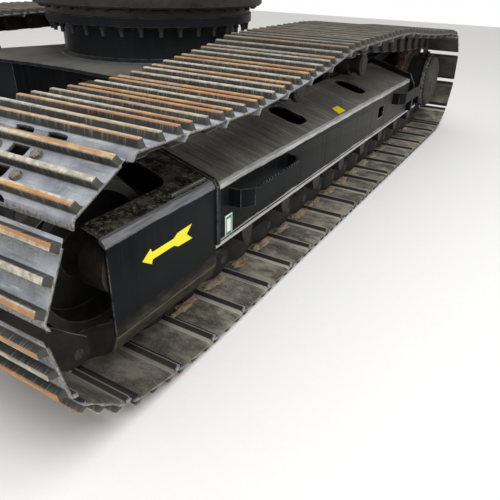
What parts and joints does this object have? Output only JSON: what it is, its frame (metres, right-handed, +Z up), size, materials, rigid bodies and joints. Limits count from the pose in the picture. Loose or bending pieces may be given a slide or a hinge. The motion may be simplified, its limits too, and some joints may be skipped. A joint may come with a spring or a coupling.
{
  "type": "crawler excavator undercarriage",
  "caption": "Tracked undercarriage of an excavator: two crawlers with shoes, rollers, idlers and final drives, joined by a car body with a turning slewing ring.",
  "frame": {"origin": "on the ground under the slewing axis", "axes": "+X forward (the idler end), +Y to the machine's left, +Z up"},
  "size_m": [4.7718, 3.29, 1.166],
  "materials": {
    "frame_paint": "semi-gloss black paint, streaked and worn at its edges",
    "dusty_paint": "dark paint under grey-brown dust",
    "ring_paint": "gloss dark grey paint",
    "ring_steel": "dark, oily machined steel",
    "cast_dark": "dark casting with dry dirt",
    "worn_steel": "worn running steel with rust",
    "shoe_steel": "blue-grey worn shoes, orange rust on the bars"
  },
  "bodies": {
    "chassis": {"car_body": "dusty_paint", "car_deck": "dusty_paint", "car_floor": "dusty_paint", "bay_plates": "frame_paint", "belly_cover": "frame_paint", "ring_pedestal": "ring_paint", "ring_flange": "ring_paint", "fixed_race": "ring_steel", "swivel_barrel": "cast_dark", "side_frame_left": "frame_paint", "side_frame_right": "frame_paint", "end_collars_left": "frame_paint", "end_collars_right": "frame_paint", "idler_box_left": "frame_paint", "idler_box_right": "frame_paint", "idler_left": "worn_steel", "idler_right": "worn_steel", "idler_yoke_left": "cast_dark", "idler_yoke_right": "cast_dark", "sprocket_left": "worn_steel", "sprocket_right": "worn_steel", "final_drive_left": "frame_paint", "final_drive_right": "frame_paint", "drive_mount_left": "frame_paint", "drive_mount_right": "frame_paint", "travel_motor_left": "cast_dark", "travel_motor_right": "cast_dark", "motor_guard_left": "frame_paint", "motor_guard_right": "frame_paint", "carrier_rollers_left": "cast_dark", "carrier_rollers_right": "cast_dark", "carrier_brackets_left": "frame_paint", "carrier_brackets_right": "frame_paint", "track_rollers_left": "cast_dark", "track_rollers_right": "cast_dark", "track_guides_left": "frame_paint", "track_guides_right": "frame_paint", "steps_left": "frame_paint", "steps_right": "frame_paint", "track_left": "shoe_steel", "track_right": "shoe_steel"},
    "turntable": {"rotating_race": "ring_steel", "swivel_rotor": "cast_dark"}
  },
  "joints": [
    {"name": "slew", "type": "hinge", "parent": "chassis", "child": "turntable", "pos_m": [0, 0, 1.1], "axis": [0, 0, 1], "continuous": true}
  ]
}
